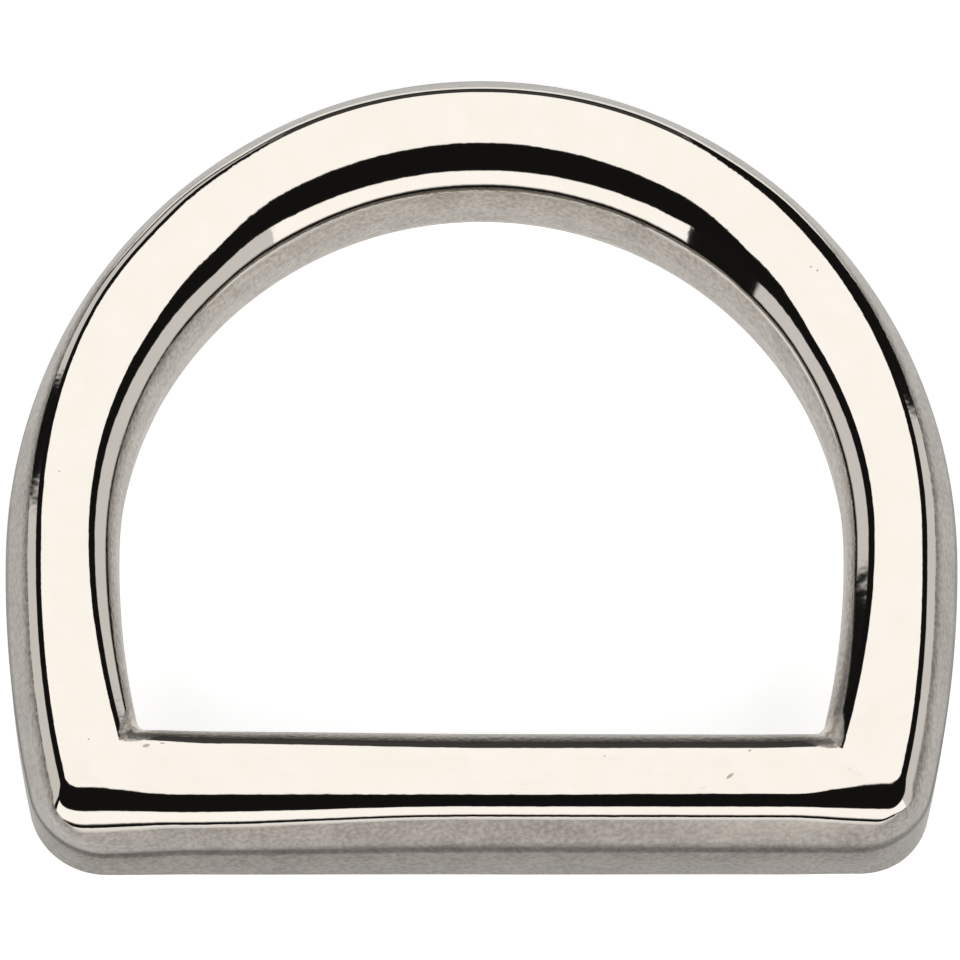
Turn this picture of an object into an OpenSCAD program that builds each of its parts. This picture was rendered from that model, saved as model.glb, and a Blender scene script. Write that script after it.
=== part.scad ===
// Cast D ring for a flat strap, one solid piece lying on its flat back.
// The straight bar runs along X, the arch points to +Y and the polished face looks up.
// Widths and radii of the outlines are taken at the parting line, the widest level of the walls.

/* [Opening] */
// Clear length of the bar between the two sides, for the strap
strap_width = 25.4; // [20:0.1:32]
// Clear height of the opening from the bar to the crown of the arch
opening_height = 22.5; // [19:0.1:28]
// Height above the bar at which the opening is widest and the arch begins
widest_height = 7.8; // [5:0.1:10]
// Radius of the opening's sides below the arch
opening_side_radius = 33; // [26:0.5:60]

/* [Band] */
// Width of the band at the sides, where the opening is widest
band_width = 4.3; // [4:0.05:5.6]
// Width of the band at the crown of the arch
crown_width = 5.45; // [4.4:0.05:7]
// Width of the straight bar
bar_width = 4.4; // [4:0.1:5.6]
// Depth of the ring from its flat back to its polished face
depth = 4.5; // [4:0.1:6]
// Height of the parting line above the flat back
parting_height = 2.6; // [1.6:0.1:2.8]
// Radius of the ring's outer sides below the arch
outer_side_radius = 45.5; // [36:0.5:80]
// Radius of the two outer corners
corner_radius = 3; // [1.8:0.1:3.4]

/* [Edges] */
// Radius of the edge between the face and the outer wall
outer_edge_radius = 0.8; // [0.3:0.05:1.1]
// Radius of the edge between the face and the wall of the opening
inner_edge_radius = 1.3; // [0.5:0.05:1.35]
// Radius of the edge between the back and the outer wall
outer_back_radius = 0.35; // [0.15:0.05:0.8]
// Radius of the edge between the back and the wall of the opening
inner_back_radius = 1.2; // [0.15:0.05:1.35]
// Lean of the outer wall between the parting line and the face, in degrees
outer_lean = 24; // [6:1:28]
// Draft of all other walls, in degrees
draft = 5; // [1:1:9]

/* [Hidden] */
$fn = 180;

// Half widths of the opening and of the whole ring where the opening is widest
half_opening = strap_width / 2 + opening_side_radius
    - sqrt(pow(opening_side_radius, 2) - pow(widest_height, 2));
half_ring = half_opening + band_width;

// Above the widest level both outlines are half circles, each stretched along Y to its own height
opening_stretch = (opening_height - widest_height) / half_opening;
ring_stretch = (opening_height - widest_height + crown_width) / half_ring;

// Levels along Y, with the middle of the ring's height at zero
ring_height = bar_width + opening_height + crown_width;
bar_line = bar_width - ring_height / 2;
widest_line = bar_line + widest_height;

// Outer corner, tangent to the outer side and to the bar
corner_drop = widest_height + bar_width - corner_radius;
corner_reach = outer_side_radius - corner_radius;
corner_turn = asin(corner_drop / corner_reach);
corner_x = half_ring - outer_side_radius + corner_reach * cos(corner_turn);
corner_y = bar_line - bar_width + corner_radius;

// The corner is a hair fuller than the side and the bar, which both end inside it just past its
// centre, and it starts far enough back to lie inside the bar there
corner_swell = 0.01;
seam_lap = 0.08;
corner_lap = 0.5;
bar_reach = corner_x + seam_lap;

// Edge of the square block that cuts a quarter out of the corner's full turn
corner_block = 2 * corner_radius;

// Distance from the widest level in to the centre of an edge rounding
function inset(rise, edge, lean) = (rise - edge) * tan(lean) + edge / cos(lean);

// Where the leaning wall runs into an edge rounding, measured from the rounding's centre
wall_bite = 0.0005;
function wall_touch(edge, lean) = (edge - wall_bite) * [cos(lean), sin(lean)];

// The face and the back are ground flat a hair below the tops of their edge roundings
ground = 0.004;
face_rise = depth + ground - parting_height;
back_drop = parting_height + ground;
outer_inset = inset(face_rise, outer_edge_radius, outer_lean);
inner_inset = inset(face_rise, inner_edge_radius, draft);
outer_back_inset = inset(back_drop, outer_back_radius, draft);
inner_back_inset = inset(back_drop, inner_back_radius, draft);

// Heights of the centres of the edge roundings
outer_edge_z = depth + ground - outer_edge_radius;
inner_edge_z = depth + ground - inner_edge_radius;
outer_back_z = outer_back_radius - ground;
inner_back_z = inner_back_radius - ground;

// The two rims carry the shaped walls, and the core fills the space between them, which it
// overlaps by this much on either side
core_lap = 0.15;
outer_rim = band_width / 2 + core_lap;
inner_rim = max(inner_inset, inner_back_inset) + 2 * core_lap;

// Turns of the sides down from the widest level. The outer rim ends inside the corner, and the
// inner rim and the core end under the bar's face.
outer_turn = asin((corner_drop + seam_lap) / corner_reach);
inner_turn = asin((widest_height + inner_rim) / opening_side_radius);
core_drop = widest_height + max(bar_width - corner_radius, inner_rim);

// Outer part of the band's section, from the line x = 0 out to x = reach
module outer_part(reach) {
    face_centre = [reach - outer_inset, outer_edge_z];
    back_centre = [reach - outer_back_inset, outer_back_z];
    face_touch = wall_touch(outer_edge_radius, outer_lean);
    back_touch = wall_touch(outer_back_radius, draft);
    intersection() {
        union() {
            polygon([
                [0, -ground],
                [back_centre.x, -ground],
                [back_centre.x + back_touch.x, back_centre.y - back_touch.y],
                [reach, parting_height],
                face_centre + face_touch,
                [face_centre.x, depth + ground],
                [0, depth + ground]
            ]);
            translate(face_centre) circle(r = outer_edge_radius);
            translate(back_centre) circle(r = outer_back_radius);
        }
        square([reach, depth]);
    }
}

// Inner part of the band's section, from the opening at x = -reach to the line x = 0
module inner_part(reach) {
    face_centre = [inner_inset - reach, inner_edge_z];
    back_centre = [inner_back_inset - reach, inner_back_z];
    face_touch = wall_touch(inner_edge_radius, draft);
    back_touch = wall_touch(inner_back_radius, draft);
    intersection() {
        union() {
            polygon([
                [0, -ground],
                [0, depth + ground],
                [face_centre.x, depth + ground],
                [face_centre.x - face_touch.x, face_centre.y + face_touch.y],
                [-reach, parting_height],
                back_centre - back_touch,
                [back_centre.x, -ground]
            ]);
            translate(face_centre) circle(r = inner_edge_radius);
            translate(back_centre) circle(r = inner_back_radius);
        }
        translate([-reach, 0]) square([reach, depth]);
    }
}

// Outer rim of the arch, from the parting line in
module arch_outer_rim() {
    scale([1, ring_stretch, 1]) rotate_extrude(angle = 180)
        translate([half_ring - outer_rim, 0]) outer_part(outer_rim);
}

// Inner rim of the arch, round the opening
module arch_inner_rim() {
    scale([1, opening_stretch, 1]) rotate_extrude(angle = 180)
        translate([half_opening + inner_rim, 0]) inner_part(inner_rim);
}

// Flat space between the two rims of the arch
module arch_core() {
    difference() {
        scale([1, ring_stretch, 1]) rotate_extrude(angle = 180)
            square([half_ring - outer_rim + core_lap, depth]);
        translate([0, 0, -core_lap]) scale([1, opening_stretch, 1])
            cylinder(r = half_opening + inner_rim - core_lap, h = depth + 2 * core_lap);
    }
}

module arch() {
    translate([0, widest_line]) {
        arch_outer_rim();
        arch_inner_rim();
        arch_core();
    }
}

// Straight bar between the two outer corners
module bar() {
    translate([bar_reach, bar_line]) rotate([90, 0, -90]) linear_extrude(2 * bar_reach)
        translate([bar_width / 2, 0]) {
            outer_part(bar_width / 2);
            inner_part(bar_width / 2);
        }
}

// Right side below the arch
module side() {
    outer_centre = half_ring - outer_side_radius;
    inner_centre = half_opening - opening_side_radius;
    translate([outer_centre, widest_line]) rotate_extrude(angle = -outer_turn)
        translate([outer_side_radius - outer_rim, 0]) outer_part(outer_rim);
    translate([inner_centre, widest_line]) rotate_extrude(angle = -inner_turn)
        translate([opening_side_radius + inner_rim, 0]) inner_part(inner_rim);
    translate([0, widest_line]) linear_extrude(depth) intersection() {
        difference() {
            translate([outer_centre, 0]) circle(r = outer_side_radius - outer_rim + core_lap);
            translate([inner_centre, 0]) circle(r = opening_side_radius + inner_rim - core_lap);
        }
        translate([0, -core_drop]) square([half_ring, core_drop]);
    }
}

// Right outer corner between the side and the bar, a quarter cut from a full turn
module corner() {
    translate([corner_x, corner_y]) intersection() {
        rotate_extrude() outer_part(corner_radius + corner_swell);
        translate([-corner_lap, -corner_block, 0])
            cube([corner_lap + corner_block, corner_block + seam_lap, depth]);
    }
}

module d_ring() {
    color([0.78, 0.75, 0.71]) {
        arch();
        bar();
        side();
        corner();
        mirror([1, 0, 0]) {
            side();
            corner();
        }
    }
}

d_ring();
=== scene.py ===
"""Looks of the cast D ring: one closed loft of polished nickel, in the frame of its CAD part.

X runs along the bar, Y from the bar to the crown and Z up from the flat back to the polished face.
Lengths are in millimetres until the mesh is made, as in the part's source.
"""

import math
from typing import NamedTuple

import bpy
import numpy as np
from mathutils import Matrix, Vector


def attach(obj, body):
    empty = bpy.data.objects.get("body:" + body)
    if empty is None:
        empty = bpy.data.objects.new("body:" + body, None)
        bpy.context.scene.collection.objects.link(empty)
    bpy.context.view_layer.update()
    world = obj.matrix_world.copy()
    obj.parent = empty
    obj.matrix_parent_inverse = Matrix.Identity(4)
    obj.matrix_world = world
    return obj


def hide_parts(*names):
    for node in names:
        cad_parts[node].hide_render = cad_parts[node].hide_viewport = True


MM = 0.001

# Sizes of the part: the opening and the ring at the parting line, and the heights
STRAP_WIDTH = 25.4
OPENING_HEIGHT = 22.5
WIDEST_HEIGHT = 7.8
INNER_SIDE_RADIUS = 33.0
BAND_WIDTH = 4.3
OUTER_SIDE_RADIUS = 45.5
BAR_WIDTH = 4.4
CROWN_WIDTH = 5.45
CORNER_RADIUS = 3.0
DEPTH = 4.5
PARTING_HEIGHT = 2.6

# The loft stays this far inside the outline, so that it never passes the frame's box
HAIR = 0.002

# Places along half the outline, from the bar's middle to the crown's
PLACES = ("bar", "bar_near", "bar_end", "side_end", "widest", "upper", "shoulder", "brow", "crown")


class Section(NamedTuple):
    """Section of a wall at one place. The slants are in degrees from upright."""

    edge: float  # radius of the edge at the face
    lateness: float = 1  # how late that edge turns, 1 for a true arc
    draft: float = 5  # slant below the parting line
    lean: float = 5  # slant above the parting line
    back: float = 1.5  # radius of the edge at the back
    seam: float = 0  # depth of the groove that the dies left at the parting line
    parting: float = PARTING_HEIGHT  # height of the parting line


INNER_WALL = {
    "bar": Section(1.35),
    "bar_near": Section(1.3),
    "bar_end": Section(1.2),
    "side_end": Section(1),
    "widest": Section(1.12),
    "upper": Section(1.03, 1.1),
    "shoulder": Section(1.45, 1.3),
    "brow": Section(1.82, 1.2),
    "crown": Section(1.88, 1.12),
}
INNER_WALL_LEFT = {
    **INNER_WALL,
    "bar_near": Section(1.15),
    "bar_end": Section(0.95),
    "side_end": Section(0.92),
    "upper": Section(1.25, 1.2),
    "shoulder": Section(1.5, 1.4),
    "brow": Section(1.88, 1.25),
}
OUTER_WALL = {
    "bar": Section(0.82, 0.85, 2, 23, 0.15, 0.06, 2.55),
    "bar_near": Section(0.9, 0.9, 3, 25, 0.15, 0.06),
    "bar_end": Section(1.7, 1.4, 4, 24, 0.15, 0.06),
    "side_end": Section(0.9, 1, 2, 15, 0.15, 0.05),
    "widest": Section(0.88, 1, 1, 24, 0.3, 0.03),
    "upper": Section(0.85, 1, 1, 25, 0.3, 0.02),
    "shoulder": Section(0.85, 1, 1, 26, 0.3, 0.02),
    "brow": Section(0.72, 1, 1, 30, 0.3, 0.01),
    "crown": Section(0.6, 1, 1, 34, 0.3),
}
OUTER_WALL_LEFT = {
    **OUTER_WALL,
    "bar_near": Section(1.2, 1, 1, 7, 0.15, 0.06, 2.2),
    "bar_end": Section(1.6, 1, 0, 1, 0.15, 0.06, 1.9),
    "side_end": Section(0.9, 1, 0, 15, 0.15, 0.05, 2.2),
    "upper": Section(0.7, 1, 1, 20, 0.3, 0.02),
    "shoulder": Section(0.7, 1, 1, 25, 0.3, 0.02),
}

# Half the width of the seam and of the stripe of painted shade along it, and the share of the seam
# that the flat bottom of its groove takes up
SEAM_HALF = 0.16
SEAM_SHADOW_HALF = 0.42
SEAM_FLAT = 0.3

# The polish ends where the surface is this many degrees from level, and fades out before that
POLISH_END = 66.0
POLISH_FADE = 5.0
INNER_POLISH = {
    **{place: POLISH_END for place in PLACES},
    "bar": 28,
    "bar_near": 28,
    "bar_end": 28,
    "side_end": 28,
    "widest": 50,
}
INNER_POLISH_LEFT = {**INNER_POLISH, "side_end": 48, "widest": 48, "upper": 52}
OUTER_POLISH = {
    **{place: POLISH_END for place in PLACES},
    "side_end": 38,
    "widest": 40,
    "upper": 38,
    "shoulder": 45,
    "brow": 48,
    "crown": 48,
}
OUTER_POLISH_LEFT = {**OUTER_POLISH, "side_end": 44}

# The polishing wheel doesn't reach into the opening's corners. There the polish ends earlier, near
# a point that lies so far out, towards the bar and below the face
CORNER_POLISH = 10.0
CORNER_SINK = (0.45, 0.7, 0.5)
# The same reach and fade of the corners also set the painted light that brightens the satin there
CORNER_REACH_RIGHT = 1.25
CORNER_REACH_LEFT = 1.3
CORNER_FADE = 0.7

# Radii of the outline's corners: the opening's at two heights, and the ring's at three shares of
# the way in from the parting line to the face
INNER_CORNER_HEIGHTS = (PARTING_HEIGHT, DEPTH)
INNER_CORNERS = (0.9, 0.15)
OUTER_CORNER_SHARES = (0, 0.4, 1)
OUTER_CORNERS = (CORNER_RADIUS, 1.1, 0.5)
OUTER_CORNERS_LEFT = (CORNER_RADIUS, 1.4, 0.6)

# Mesh stations along each stretch of half the outline, and where they meet the places
BAR_STATIONS = 120
BAR_NEAR_STATION = 92
CORNER_STATIONS = 20
SIDE_STATIONS = 80
ARCH_STATIONS = 320
ARCH_SHARES = (1 / 3, 1 / 2, 2 / 3, 1)
SIDE_START = BAR_STATIONS + CORNER_STATIONS
ARCH_START = SIDE_START + SIDE_STATIONS
PLACE_STATIONS = (0, BAR_NEAR_STATION, BAR_STATIONS, SIDE_START, ARCH_START)
PLACE_STATIONS += tuple(ARCH_START + round(share * ARCH_STATIONS) for share in ARCH_SHARES)
STATIONS = 2 * (ARCH_START + ARCH_STATIONS)

# Steps round the edges at the back and at the face, finer steps that the latter are added up from,
# and shares of the plain stretches between
BACK_STEPS = 6
EDGE_STEPS = 24
TURN_STEPS = 12
WALL_SHARES = (0.5, 1)
FACE_SHARES = (0.03, 0.1, 0.3, 0.5, 0.7, 0.9, 0.97)
BACK_SHARES = (0.05, 0.5, 0.95)

# Mirror polish
MIRROR_LIGHT = (0.605, 0.565, 0.515, 1)
MIRROR_DARK = (0.59, 0.55, 0.495, 1)
MIRROR_ROUGHNESS = 0.05
MIRROR_BUMP = 0.12

# Satin casting skin, with painted light in the opening and its corners and painted shade along the
# seam and below it
SATIN_LIGHT = (0.385, 0.356, 0.318, 1)
SATIN_DARK = (0.235, 0.215, 0.19, 1)
SATIN_ROUGHNESS = 0.36
SATIN_BUMP = 0.35
INNER_PAINTED_LIGHT = 1.15
CORNER_PAINTED_LIGHT = 2.2
SEAM_SHADE = 0.4
LOWER_SHADE = 0.73

# Fine grain and slow clouds in both, cut off at two levels of their noise, and their relief
GRAIN_SCALE = 5600.0
GRAIN_DETAIL = 4.0
CLOUD_SCALE = 700.0
CLOUD_DETAIL = 3.0
CLOUD_SHARE = 0.3
NOISE_LEVELS = (0.3, 0.7)
BUMP_HEIGHT = 0.03

# Small pits and scratches in the face: X, Y, half length, half width and turn in degrees
MARKS = (
    (9.26, -14.0, 0.22, 0.08, 40),
    (10.0, -12.95, 0.09, 0.05, 20),
    (12.45, 7.25, 0.06, 0.05, 0),
    (12.7, 7.1, 0.07, 0.05, 60),
    (-14.6, -12.6, 0.05, 0.04, 0),
    (-15.9, -1.5, 0.05, 0.04, 30),
    (4.6, -13.2, 0.06, 0.03, 10),
    (-12.45, -12.85, 0.18, 0.09, 15),
    (-11.85, -12.75, 0.12, 0.04, -10),
)
MARK_SHADE = 0.5
MARK_CORE = 0.5

# Paper under the ring, with its size in metres
FLOOR_SIZE = 6.0
PAPER = (0.94, 0.94, 0.94, 1)
PAPER_GLOW = 0.75
PAPER_ROUGHNESS = 0.9
PAPER_SPECULAR = 0.1

# Light from each part of the studio
LIGHT_COLOUR = (1.0, 1.0, 1.0, 1)
WINDOW_LIGHT = 1.62
SIDE_LIGHT = 0.92
LOW_REAR_LIGHT = 0.07
DARK_LIGHT = 0.01

# Where those parts are, as X, Y and Z of a direction of length one. The bright window behind the
# ring is cut off at both sides, and its low end is dull
WINDOW_EDGE = 0.385
WINDOW_HALF = 0.06
WINDOW_SLANT = 2.4
WINDOW_WIDTH = 0.45
LOW_REAR_START = 0.77

# The dark ceiling, with dark wedges and the front wall between lines that start at one point. Each
# line is told by its rise in Y for each step to the side
CEILING_SIDE = 0.58
CEILING_TAPER = 0.3
CEILING_FRONT = 0.66
LINES_START = 0.438
WEDGE_RIGHT = 0.24
WEDGE_LEFT = (0.05, 0.29)
PATCH_LEFT = (-1.26, -0.82)
FRONT_SLOPE = -1.19
FRONT_FOOT = 0.2
HORIZON = 0.27
EDGE_SOFT = 0.015

# Camera, from the angle of the photograph, with its clip distances in metres
CAMERA_TILT = 26.0
CAMERA_DISTANCE = 453.8
CAMERA_LENS = 450.0
CAMERA_SENSOR = 36.0
CAMERA_ROLL = 0.22
CAMERA_CLIP = (0.01, 10.0)
AIM = (-0.07, -0.706, 2.25)


class Outline(NamedTuple):
    """A wall's curve at the parting line: a bar, sides of one radius and half an ellipse."""

    half_width: float
    side_radius: float
    rise: float
    bar_line: float


class Profile(NamedTuple):
    """A wall's section as points from the back up to the face."""

    insets: np.ndarray
    heights: np.ndarray


class Level(NamedTuple):
    """A curve at one level of a wall, with its height and that above the parting line."""

    curve: np.ndarray
    height: np.ndarray
    above: np.ndarray


RING_HEIGHT = BAR_WIDTH + OPENING_HEIGHT + CROWN_WIDTH
BAR_LINE = BAR_WIDTH - RING_HEIGHT / 2
WIDEST_LINE = BAR_LINE + WIDEST_HEIGHT
INNER_BULGE = INNER_SIDE_RADIUS - math.sqrt(INNER_SIDE_RADIUS**2 - WIDEST_HEIGHT**2)
INNER_OUTLINE = Outline(
    half_width=STRAP_WIDTH / 2 + INNER_BULGE,
    side_radius=INNER_SIDE_RADIUS,
    rise=OPENING_HEIGHT - WIDEST_HEIGHT,
    bar_line=BAR_LINE,
)
OUTER_OUTLINE = Outline(
    half_width=INNER_OUTLINE.half_width + BAND_WIDTH - HAIR,
    side_radius=OUTER_SIDE_RADIUS,
    rise=INNER_OUTLINE.rise + CROWN_WIDTH - HAIR,
    bar_line=BAR_LINE - BAR_WIDTH,
)


def half_values(values):
    """Spreads one value for each place along the stations of a half outline."""
    spread = []
    for k in range(len(PLACES) - 1):
        count = PLACE_STATIONS[k + 1] - PLACE_STATIONS[k]
        share = np.arange(count) / count
        first, last = values[PLACES[k]], values[PLACES[k + 1]]
        spread.append(first + (last - first) * share * share * (3 - 2 * share))
    spread.append([values[PLACES[-1]]])
    return np.concatenate(spread)


def half_curve(outline, offsets, corner):
    """Right half of a level curve, from the middle of the bar up to the crown.

    The offsets are measured outwards at each place from the given outline.
    """
    half_width, side_radius, rise, bar_line = outline
    offset = half_values(offsets)
    reach = side_radius + offsets["side_end"]
    line = bar_line - offsets["bar_end"]
    centre_x = half_width - side_radius
    drop = line + corner - WIDEST_LINE
    corner_x = centre_x + math.sqrt((reach - corner) ** 2 - drop**2)
    corner_angle = math.atan2(drop, corner_x - centre_x)

    x = np.linspace(0, corner_x, BAR_STATIONS + 1)[:-1]
    bar = np.stack([x, bar_line - offset[:BAR_STATIONS]], 1)
    turn = np.linspace(-math.pi / 2, corner_angle, CORNER_STATIONS + 1)[:-1]
    bend = np.stack([corner_x + corner * np.cos(turn), line + corner + corner * np.sin(turn)], 1)
    turn = np.linspace(corner_angle, 0, SIDE_STATIONS + 1)[:-1]
    reach = side_radius + offset[SIDE_START:ARCH_START]
    side = np.stack([centre_x + reach * np.cos(turn), WIDEST_LINE + reach * np.sin(turn)], 1)
    turn = np.linspace(0, math.pi / 2, ARCH_STATIONS + 1)
    offset = offset[ARCH_START:]
    x = (half_width + offset) * np.cos(turn)
    arch = np.stack([x, WIDEST_LINE + (rise + offset) * np.sin(turn)], 1)
    return np.concatenate([bar, bend, side, arch])


def edge_turn(steepest, lateness):
    """Run inwards and fall of an edge rounding of length one, from the face down to the wall."""
    steps = EDGE_STEPS * TURN_STEPS
    middle = (np.arange(steps) + 0.5) / steps
    angle = steepest * middle**lateness
    run = np.concatenate([[0], np.cumsum(np.cos(angle)) / steps])
    fall = np.concatenate([[0], np.cumsum(np.sin(angle)) / steps])
    return run[::TURN_STEPS], fall[::TURN_STEPS]


def back_stretch(section):
    """Edge rounding at the back and the wall from there up to the seam."""
    low = math.radians(section.draft)
    back = section.back
    back_inset = (section.parting - back) * math.tan(low) + back / math.cos(low)
    turn = np.linspace(0, math.pi / 2 - low, BACK_STEPS)
    inset = back_inset - back * np.sin(turn)
    height = back - back * np.cos(turn)
    share = np.array(WALL_SHARES)
    wall_inset = inset[-1] + (SEAM_HALF * math.tan(low) - inset[-1]) * share
    wall_height = height[-1] + (section.parting - SEAM_HALF - height[-1]) * share
    return np.append(inset, wall_inset), np.append(height, wall_height)


def seam_stretch(section):
    """Groove of the seam and the wall up to the seam's upper end."""
    end = SEAM_HALF * math.tan(math.radians(section.lean))
    flat = SEAM_FLAT * SEAM_HALF
    inset = (section.seam, section.seam + SEAM_FLAT * end, end)
    height = (section.parting - flat, section.parting + flat, section.parting + SEAM_HALF)
    return inset, height


def face_stretch(section):
    """The wall above the seam and the edge rounding at the face."""
    high = math.radians(section.lean)
    rise = DEPTH - section.parting
    face_inset = (rise - section.edge) * math.tan(high) + section.edge / math.cos(high)
    run, fall = edge_turn(math.pi / 2 - high, section.lateness)
    length = (face_inset - rise * math.tan(high)) / (run[-1] - fall[-1] * math.tan(high))
    inset = face_inset - length * run[::-1]
    height = DEPTH - length * fall[::-1]
    wall_inset = (SEAM_HALF * math.tan(high) + inset[0]) / 2
    wall_height = (section.parting + SEAM_HALF + height[0]) / 2
    return np.append(wall_inset, inset), np.append(wall_height, height)


def wall_profile(section):
    """A wall's section, with its insets measured from the parting line into the metal."""
    stretches = back_stretch(section), seam_stretch(section), face_stretch(section)
    return Profile(*(np.concatenate(parts) for parts in zip(*stretches)))


def inner_corners(profile):
    """Radius of the opening's corners at each point of the profile."""
    return np.interp(profile.heights, INNER_CORNER_HEIGHTS, INNER_CORNERS)


def outer_corners(radii):
    """The same for the ring's own corners, from their radii at three shares of the way in."""

    def at_points(profile):
        share = profile.insets / profile.insets[-1]
        return np.interp(share, OUTER_CORNER_SHARES, radii)

    return at_points


def half_wall(outline, sections, sign, corners_of):
    """Levels of one half of a wall, from the back up to the face.

    The sign is 1 for the opening, which insets into the metal widen, and -1 for the ring.
    """
    profiles = {place: wall_profile(sections[place]) for place in PLACES}
    parting = half_values({place: sections[place].parting for place in PLACES})
    levels = []
    for k, corner in enumerate(corners_of(profiles["side_end"])):
        offsets = {place: sign * profiles[place].insets[k] for place in PLACES}
        height = half_values({place: profiles[place].heights[k] for place in PLACES})
        levels.append(Level(half_curve(outline, offsets, corner), height, height - parting))
    return levels


def whole_loop(right, left):
    """Joins a right half and the mirror image of a left half into a closed loop."""
    other = left[1:-1][::-1]
    if left.ndim == 2:
        other = other * np.array([-1, 1])
    return np.concatenate([right, other])


def whole_wall(right, left):
    """Joins the levels of two halves."""
    return [Level(*map(whole_loop, one, other)) for one, other in zip(right, left)]


def between(start, end, share):
    """A level at a share of the way from one level to another."""
    return Level(*(a + (b - a) * share for a, b in zip(start, end)))


def ring_levels():
    """Levels of the inner side, from the back up to the middle of the face, and of the outer side,
    from there down to the back."""
    right = half_wall(INNER_OUTLINE, INNER_WALL, 1, inner_corners)
    left = half_wall(INNER_OUTLINE, INNER_WALL_LEFT, 1, inner_corners)
    inner = whole_wall(right, left)
    right = half_wall(OUTER_OUTLINE, OUTER_WALL, -1, outer_corners(OUTER_CORNERS))
    left = half_wall(OUTER_OUTLINE, OUTER_WALL_LEFT, -1, outer_corners(OUTER_CORNERS_LEFT))
    outer = whole_wall(right, left)[::-1]
    face = [between(inner[-1], outer[0], share) for share in FACE_SHARES]
    back = [between(outer[-1], inner[0], share) for share in BACK_SHARES]
    middle = len(FACE_SHARES) // 2
    return inner + face[:middle], face[middle:] + outer + back


def loft(levels):
    """Points of all levels and the mesh between them, with the last level joined to the first."""
    points = np.concatenate([np.column_stack([level.curve, level.height]) for level in levels])
    faces = []
    for row in range(len(levels)):
        low = row * STATIONS
        high = (row + 1) % len(levels) * STATIONS
        for k in range(STATIONS):
            after = (k + 1) % STATIONS
            faces.append((low + k, high + k, high + after, low + after))
    mesh = bpy.data.meshes.new("cast_ring")
    mesh.from_pydata((points * MM).tolist(), [], faces)
    mesh.polygons.foreach_set("use_smooth", [True] * len(faces))
    return points, mesh


def polish_ends(right, left, levels):
    """Steepness at which the polish ends, for each station of each level."""
    return np.tile(whole_loop(half_values(right), half_values(left)), len(levels))


def near_inner_corner(points):
    """1 close to one of the opening's two corners, fading to 0 at the reach of that corner."""
    near = np.zeros(len(points))
    out, down, deep = CORNER_SINK
    for side, reach in ((1, CORNER_REACH_RIGHT), (-1, CORNER_REACH_LEFT)):
        corner = np.array([side * (STRAP_WIDTH / 2 + out), BAR_LINE - down, DEPTH - deep])
        away = np.linalg.norm(points - corner, axis=1)
        near = np.maximum(near, np.clip((reach - away) / CORNER_FADE, 0, 1))
    return near


def steepness(mesh):
    """Angle of the surface from level at each point, in degrees."""
    normals = np.zeros(3 * len(mesh.vertices), np.float32)
    mesh.vertex_normals.foreach_get("vector", normals)
    return np.degrees(np.arccos(np.clip(normals.reshape(-1, 3)[:, 2], -1, 1)))


def add_attribute(mesh, name, values):
    attribute = mesh.attributes.new(name, "FLOAT", "POINT")
    attribute.data.foreach_set("value", values.astype(np.float32))


def add_ring():
    """The ring, with its polish, the painted light on its satin and the height above the seam as
    attributes for the material. The opening has no seam, so its walls count as high above it."""
    inner, outer = ring_levels()
    points, mesh = loft(inner + outer)
    outside = np.arange(len(points)) >= len(inner) * STATIONS
    corner = np.where(outside, 0, near_inner_corner(points))
    ends = np.concatenate(
        [
            polish_ends(INNER_POLISH, INNER_POLISH_LEFT, inner),
            polish_ends(OUTER_POLISH, OUTER_POLISH_LEFT, outer),
        ]
    )
    ends = ends + (CORNER_POLISH - ends) * corner
    # Painted light: the satin in the opening is painted brighter, and brighter still near its
    # corners
    inner_painted_light = INNER_PAINTED_LIGHT + (CORNER_PAINTED_LIGHT - INNER_PAINTED_LIGHT) * corner
    above = np.concatenate([level.above for level in inner + outer])
    add_attribute(mesh, "polish", np.clip((ends - steepness(mesh)) / POLISH_FADE, 0, 1))
    add_attribute(mesh, "satin_painted_light", np.where(outside, 1, inner_painted_light))
    add_attribute(mesh, "above_seam", np.where(outside, above, DEPTH))
    ring = bpy.data.objects.new("cast_ring", mesh)
    bpy.context.scene.collection.objects.link(ring)
    return ring


class Graph:
    """Short names for the few kinds of nodes that the materials and the studio use."""

    def __init__(self, tree):
        self.tree = tree

    def node(self, kind, inputs=None, **settings):
        made = self.tree.nodes.new(kind)
        for name, value in settings.items():
            setattr(made, name, value)
        for name, value in (inputs or {}).items():
            self.put(made.inputs[name], value)
        return made

    def put(self, socket, value):
        if isinstance(value, bpy.types.NodeSocket):
            self.tree.links.new(value, socket)
        else:
            socket.default_value = value

    def math(self, operation, a, b=0.0):
        made = self.node("ShaderNodeMath", {0: a, 1: b}, operation=operation)
        return made.outputs[0]

    def product(self, a, b):
        return self.math("MULTIPLY", a, b)

    def inverse(self, share):
        return self.math("SUBTRACT", 1.0, share)

    def step(self, value, start, end):
        """0 below start and 1 above end, or the other way round where end is below start."""
        limits = {"Value": value, "From Min": min(start, end), "From Max": max(start, end)}
        results = {"To Min": float(start > end), "To Max": float(start < end)}
        made = self.node(
            "ShaderNodeMapRange", {**limits, **results}, interpolation_type="SMOOTHSTEP"
        )
        return made.outputs["Result"]

    def mix(self, share, a, b):
        made = self.node("ShaderNodeMix", {"Factor": share, "A": a, "B": b}, data_type="FLOAT")
        return made.outputs["Result"]

    def mix_colour(self, share, a, b):
        """The node's colour sockets share their names with others, so they go by their place."""
        made = self.node("ShaderNodeMix", {0: share, 6: a, 7: b}, data_type="RGBA")
        return made.outputs[2]

    def shade(self, colour, share):
        inputs = {0: colour, "Scale": share}
        return self.node("ShaderNodeVectorMath", inputs, operation="SCALE").outputs["Vector"]

    def noise(self, vector, scale, detail):
        inputs = {"Vector": vector, "Scale": scale, "Detail": detail}
        return self.step(self.node("ShaderNodeTexNoise", inputs).outputs["Fac"], *NOISE_LEVELS)

    def attribute(self, name):
        return self.node("ShaderNodeAttribute", attribute_name=name).outputs["Fac"]


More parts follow.
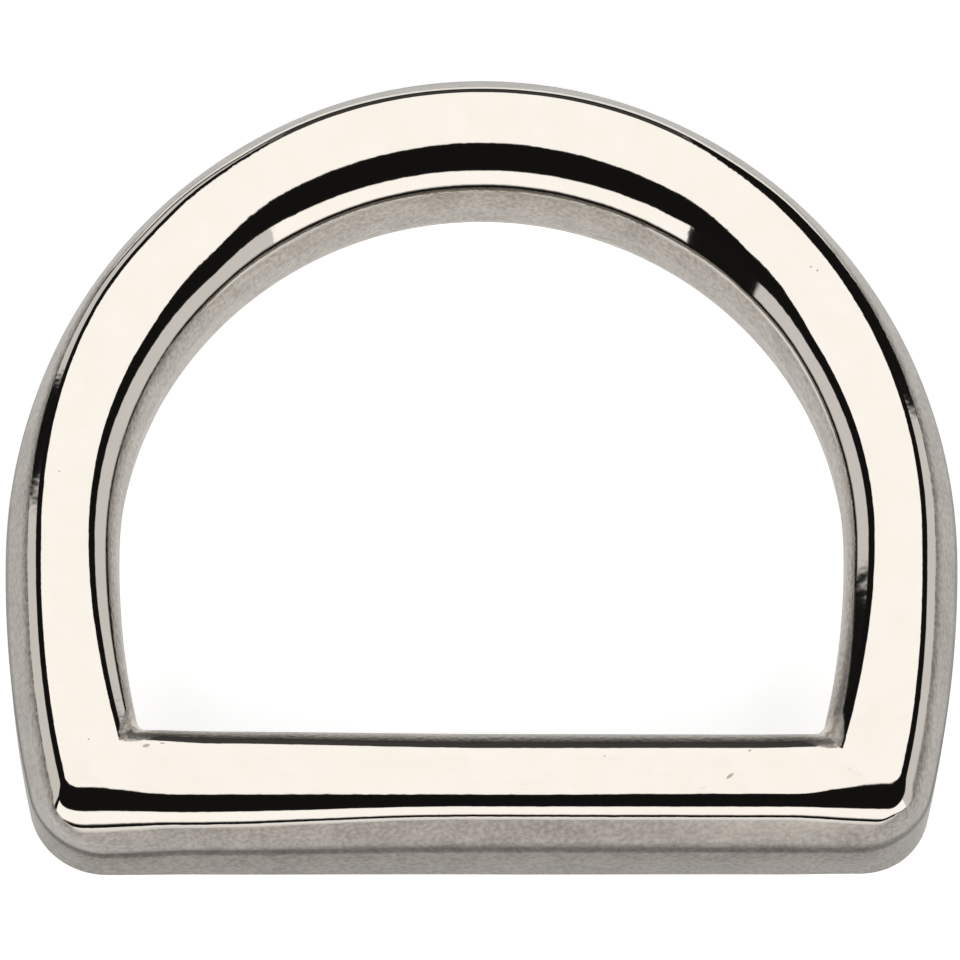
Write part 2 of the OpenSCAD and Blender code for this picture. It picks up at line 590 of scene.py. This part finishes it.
def face_marks(graph, place):
    """1 inside the small marks of the face, 0 elsewhere."""
    marks = 0.0
    for x, y, half_length, half_width, turn in MARKS:
        mapped = graph.node("ShaderNodeMapping", {"Vector": place}, vector_type="TEXTURE")
        mapped.inputs["Location"].default_value = (x * MM, y * MM, DEPTH * MM)
        mapped.inputs["Rotation"].default_value = (0, 0, math.radians(turn))
        mapped.inputs["Scale"].default_value = (half_length * MM, half_width * MM, DEPTH * MM)
        away = graph.node("ShaderNodeVectorMath", {0: mapped.outputs["Vector"]}, operation="LENGTH")
        marks = graph.math("MAXIMUM", marks, graph.step(away.outputs["Value"], 1.0, MARK_CORE))
    return marks


def nickel():
    """Nickel plate: mirror polish on the face and its edges, satin casting skin on the walls."""
    material = bpy.data.materials.new("nickel")
    material.use_nodes = True
    graph = Graph(material.node_tree)
    shader = material.node_tree.nodes["Principled BSDF"]
    place = graph.node("ShaderNodeTexCoord").outputs["Object"]
    above = graph.attribute("above_seam")
    satin_painted_light = graph.attribute("satin_painted_light")
    polish = graph.attribute("polish")
    grain = graph.noise(place, GRAIN_SCALE, GRAIN_DETAIL)
    cloud = graph.noise(place, CLOUD_SCALE, CLOUD_DETAIL)

    satin = graph.mix_colour(graph.mix(CLOUD_SHARE, grain, cloud), SATIN_DARK, SATIN_LIGHT)
    # Painted shade: a dark stripe along the seam, wider than its groove
    seam = graph.step(graph.math("ABSOLUTE", above), SEAM_SHADOW_HALF, 0.0)
    # Painted shade: the satin below the seam is painted darker
    lower = graph.step(above, 0.0, -SEAM_HALF)
    shade = graph.product(graph.mix(lower, 1.0, LOWER_SHADE), graph.mix(seam, 1.0, SEAM_SHADE))
    # Painted light and shade scale the satin's colour
    satin = graph.shade(satin, graph.product(shade, satin_painted_light))
    mirror = graph.mix_colour(cloud, MIRROR_DARK, MIRROR_LIGHT)
    mirror = graph.shade(mirror, graph.mix(face_marks(graph, place), 1.0, MARK_SHADE))

    graph.put(shader.inputs["Base Color"], graph.mix_colour(polish, satin, mirror))
    graph.put(shader.inputs["Roughness"], graph.mix(polish, SATIN_ROUGHNESS, MIRROR_ROUGHNESS))
    graph.put(shader.inputs["Metallic"], 1.0)
    height = graph.mix(polish, grain, cloud)
    strength = graph.mix(polish, SATIN_BUMP, MIRROR_BUMP)
    inputs = {"Height": height, "Strength": strength, "Distance": BUMP_HEIGHT * MM}
    bump = graph.node("ShaderNodeBump", inputs)
    graph.put(shader.inputs["Normal"], bump.outputs["Normal"])
    return material


def add_camera():
    tilt = math.radians(CAMERA_TILT)
    aim = Vector(AIM) * MM
    back = Vector((0, -math.sin(tilt), math.cos(tilt)))
    data = bpy.data.cameras.new("camera")
    data.lens = CAMERA_LENS
    data.sensor_width = CAMERA_SENSOR
    data.clip_start, data.clip_end = CAMERA_CLIP
    camera = bpy.data.objects.new("camera", data)
    roll = Matrix.Rotation(math.radians(CAMERA_ROLL), 4, back)
    camera.matrix_world = (
        Matrix.Translation(aim + back * CAMERA_DISTANCE * MM)
        @ roll
        @ (-back).to_track_quat("-Z", "Y").to_matrix().to_4x4()
    )
    bpy.context.scene.collection.objects.link(camera)
    bpy.context.scene.camera = camera


def add_floor():
    half = FLOOR_SIZE / 2
    corners = [(-half, -half, 0), (half, -half, 0), (half, half, 0), (-half, half, 0)]
    mesh = bpy.data.meshes.new("floor")
    mesh.from_pydata(corners, [], [(0, 1, 2, 3)])
    floor = bpy.data.objects.new("floor", mesh)
    bpy.context.scene.collection.objects.link(floor)
    material = bpy.data.materials.new("paper")
    material.use_nodes = True
    shader = material.node_tree.nodes["Principled BSDF"]
    shader.inputs["Base Color"].default_value = PAPER
    shader.inputs["Roughness"].default_value = PAPER_ROUGHNESS
    shader.inputs["Specular IOR Level"].default_value = PAPER_SPECULAR
    shader.inputs["Emission Color"].default_value = PAPER
    shader.inputs["Emission Strength"].default_value = PAPER_GLOW
    mesh.materials.append(material)


class Studio:
    """Parts of the studio by direction: each is 1 in its directions and 0 in others."""

    def __init__(self, graph):
        self.graph = graph
        split = graph.node("ShaderNodeSeparateXYZ")
        graph.put(split.inputs[0], graph.node("ShaderNodeTexCoord").outputs["Generated"])
        self.x, self.y, self.z = split.outputs
        self.width = graph.math("ABSOLUTE", self.x)
        self.right = self.past(self.x, 0.0)
        self.window = self.window_behind()

    def past(self, value, edge):
        return self.graph.step(value, edge - EDGE_SOFT, edge + EDGE_SOFT)

    def behind_line(self, slope):
        """Further back than the line of this slope."""
        line = self.graph.math("ADD", self.graph.product(self.width, slope), LINES_START)
        return self.past(self.graph.math("SUBTRACT", self.y, line), 0.0)

    def between_lines(self, low, high):
        beyond = self.graph.inverse(self.behind_line(high))
        return self.graph.product(self.behind_line(low), beyond)

    def window_behind(self):
        """The window, which widens upwards from a narrow foot."""
        graph = self.graph
        beside = graph.math("MAXIMUM", graph.math("SUBTRACT", self.width, WINDOW_HALF), 0.0)
        inwards = graph.math("SUBTRACT", self.y, graph.product(beside, WINDOW_SLANT))
        return self.past(inwards, WINDOW_EDGE)

    def ceiling(self):
        """The ceiling, rounded at the front and tapering towards the window."""
        graph = self.graph
        rear = graph.math("MAXIMUM", self.y, 0.0)
        front = graph.math("MINIMUM", self.y, 0.0)
        taper = graph.math("ADD", self.width, graph.product(rear, CEILING_TAPER))
        across = graph.math("POWER", graph.math("DIVIDE", taper, CEILING_SIDE), 2.0)
        along = graph.math("POWER", graph.math("DIVIDE", front, CEILING_FRONT), 2.0)
        away = graph.math("SQRT", graph.math("ADD", across, along))
        return graph.step(away, 1 + 2 * EDGE_SOFT, 1 - 2 * EDGE_SOFT)

    def dark(self):
        """The ceiling with its wedges, outside the window, and a line all round the horizon."""
        graph = self.graph
        left = graph.inverse(self.right)
        wedges = (
            graph.product(self.right, self.behind_line(WEDGE_RIGHT)),
            graph.product(left, self.between_lines(*WEDGE_LEFT)),
            graph.product(left, self.between_lines(*PATCH_LEFT)),
        )
        dark = self.ceiling()
        for wedge in wedges:
            dark = graph.math("MAXIMUM", dark, wedge)
        dark = graph.product(dark, graph.inverse(self.window))
        return graph.math("MAXIMUM", dark, graph.step(self.z, HORIZON, HORIZON / 2))

    def light(self):
        """Strength of the light where it isn't dark."""
        graph = self.graph
        facing = graph.inverse(self.behind_line(FRONT_SLOPE))
        front = graph.product(facing, self.past(self.z, FRONT_FOOT))
        inside = graph.step(self.width, WINDOW_WIDTH + 2 * EDGE_SOFT, WINDOW_WIDTH)
        bright = graph.math("MAXIMUM", graph.product(self.window, inside), front)
        low_rear = graph.product(self.window, self.past(self.y, LOW_REAR_START))
        return graph.mix(low_rear, graph.mix(bright, SIDE_LIGHT, WINDOW_LIGHT), LOW_REAR_LIGHT)


def add_studio():
    """A dark ceiling over the ring, a bright window behind it and light walls all round."""
    world = bpy.data.worlds.new("studio")
    bpy.context.scene.world = world
    world.use_nodes = True
    graph = Graph(world.node_tree)
    studio = Studio(graph)
    background = world.node_tree.nodes["Background"]
    background.inputs["Color"].default_value = LIGHT_COLOUR
    strength = graph.mix(studio.dark(), studio.light(), DARK_LIGHT)
    graph.put(background.inputs["Strength"], strength)


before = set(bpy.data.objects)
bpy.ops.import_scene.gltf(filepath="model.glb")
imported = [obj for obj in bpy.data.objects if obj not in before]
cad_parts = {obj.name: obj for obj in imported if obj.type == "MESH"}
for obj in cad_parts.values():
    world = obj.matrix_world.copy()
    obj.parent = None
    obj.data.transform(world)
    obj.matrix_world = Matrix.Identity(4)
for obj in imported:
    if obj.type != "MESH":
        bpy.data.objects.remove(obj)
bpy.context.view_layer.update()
add_camera()
add_floor()
add_studio()
ring = add_ring()
ring.data.materials.append(nickel())
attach(ring, "root")
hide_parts("d_ring")
bpy.context.scene.view_settings.view_transform = "Standard"
